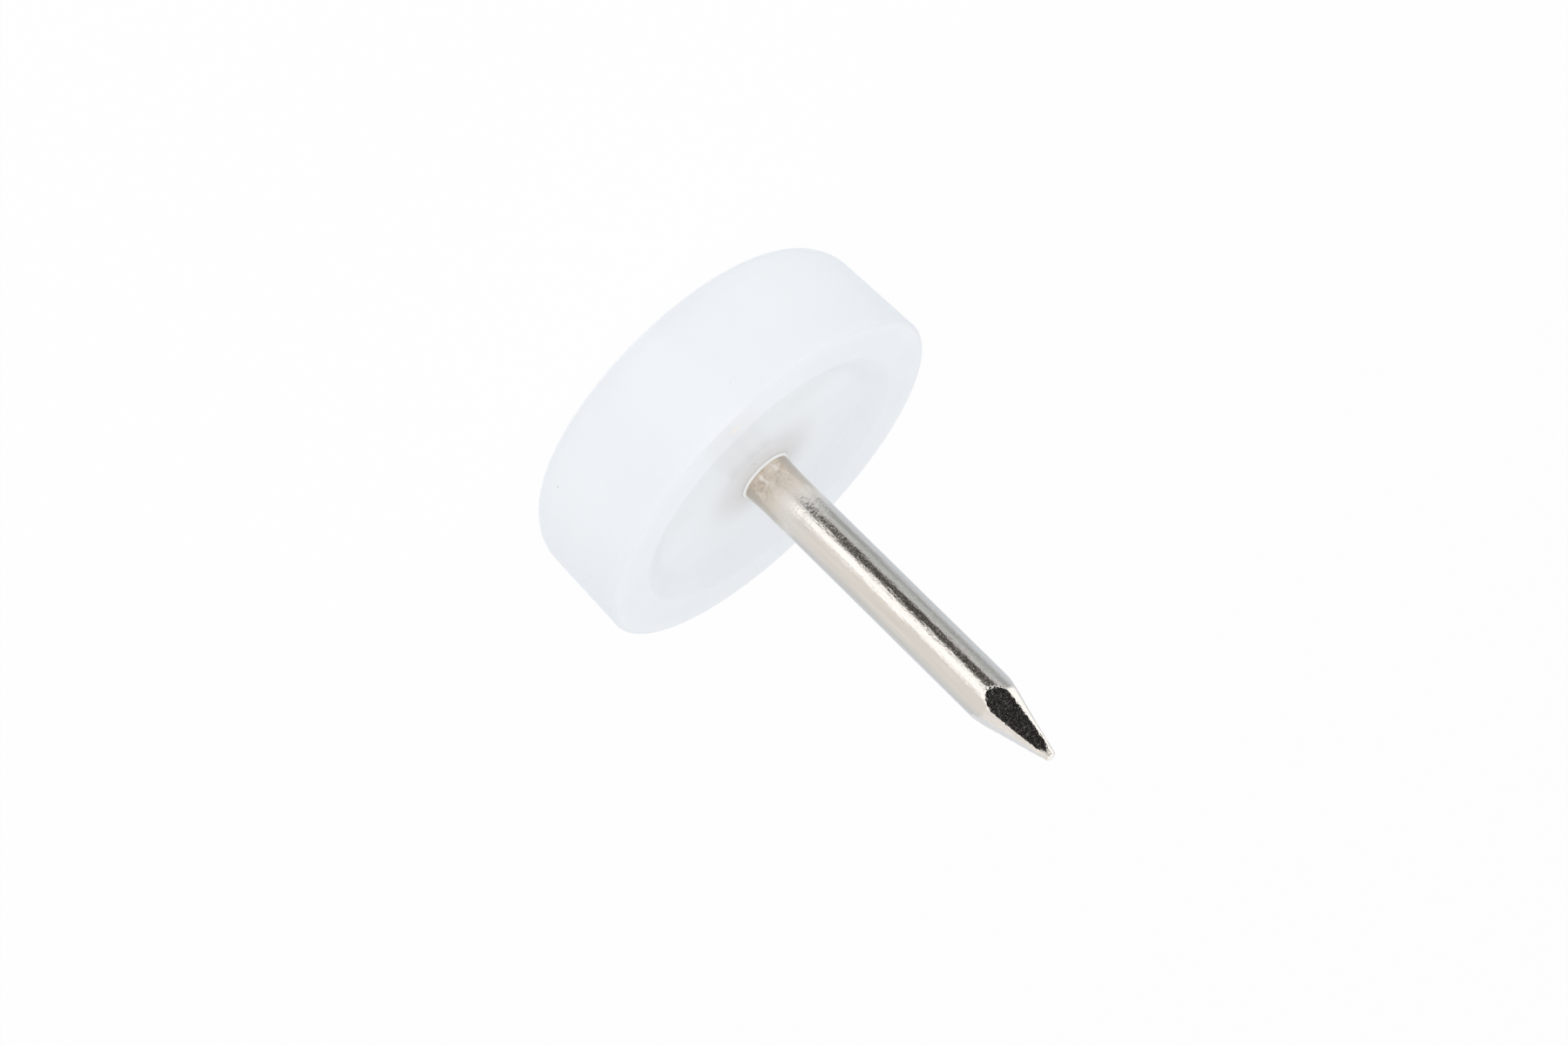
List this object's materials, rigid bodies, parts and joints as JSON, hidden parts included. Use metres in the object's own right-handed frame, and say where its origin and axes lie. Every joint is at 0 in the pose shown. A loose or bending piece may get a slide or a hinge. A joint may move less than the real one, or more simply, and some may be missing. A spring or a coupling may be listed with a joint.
{
  "type": "nail-on furniture glide",
  "caption": "Round moulded plastic furniture glide with a shallow dish and a moulded-in steel nail with a pinched point, hammered into a chair or table leg.",
  "frame": {"origin": "middle of the floor face, on the nail's axis", "axes": "+Z along the nail, from the floor face towards the point; the flats of the point are turned 8 degrees clockwise from +X, seen from the tip"},
  "size_m": [0.02, 0.02, 0.0258],
  "materials": {
    "glide_plastic": "translucent bluish-white moulded plastic, semi-gloss, faintly mottled",
    "nail_plating": "drawn steel wire with bright nickel plating, pinched point"
  },
  "bodies": {
    "root": {"glide_head": "glide_plastic", "nail": "nail_plating"}
  },
  "joints": []
}
